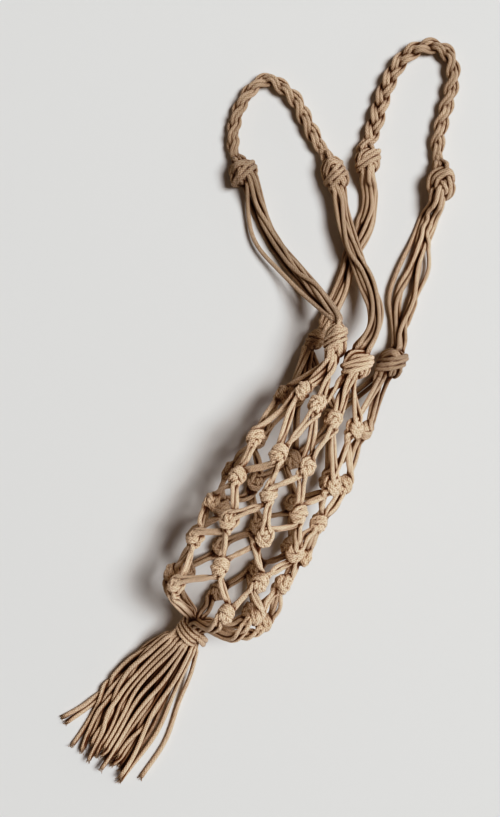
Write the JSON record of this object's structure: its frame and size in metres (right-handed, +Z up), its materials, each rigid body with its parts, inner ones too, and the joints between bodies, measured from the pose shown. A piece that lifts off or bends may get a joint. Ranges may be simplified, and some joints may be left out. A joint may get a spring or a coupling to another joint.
{
  "type": "macrame bottle holder",
  "caption": "Open knotted cotton net bag for carrying a bottle, with braided loop handles at its mouth and a cord tassel at its base, lying on its side.",
  "frame": {"origin": "on the floor, on the flat underside of the lowest knot of the fourth net row, below the bag's axis", "axes": "+X along the bag from the tassel to the handles, +Y to the bag's left, +Z up"},
  "size_m": [0.6365, 0.2303, 0.0921],
  "materials": {
    "cotton_cord": "matt braided cotton"
  },
  "bodies": {
    "root": {"net_bag": "cotton_cord", "handle_left": "cotton_cord", "handle_right": "cotton_cord", "tassel": "cotton_cord"}
  },
  "joints": []
}
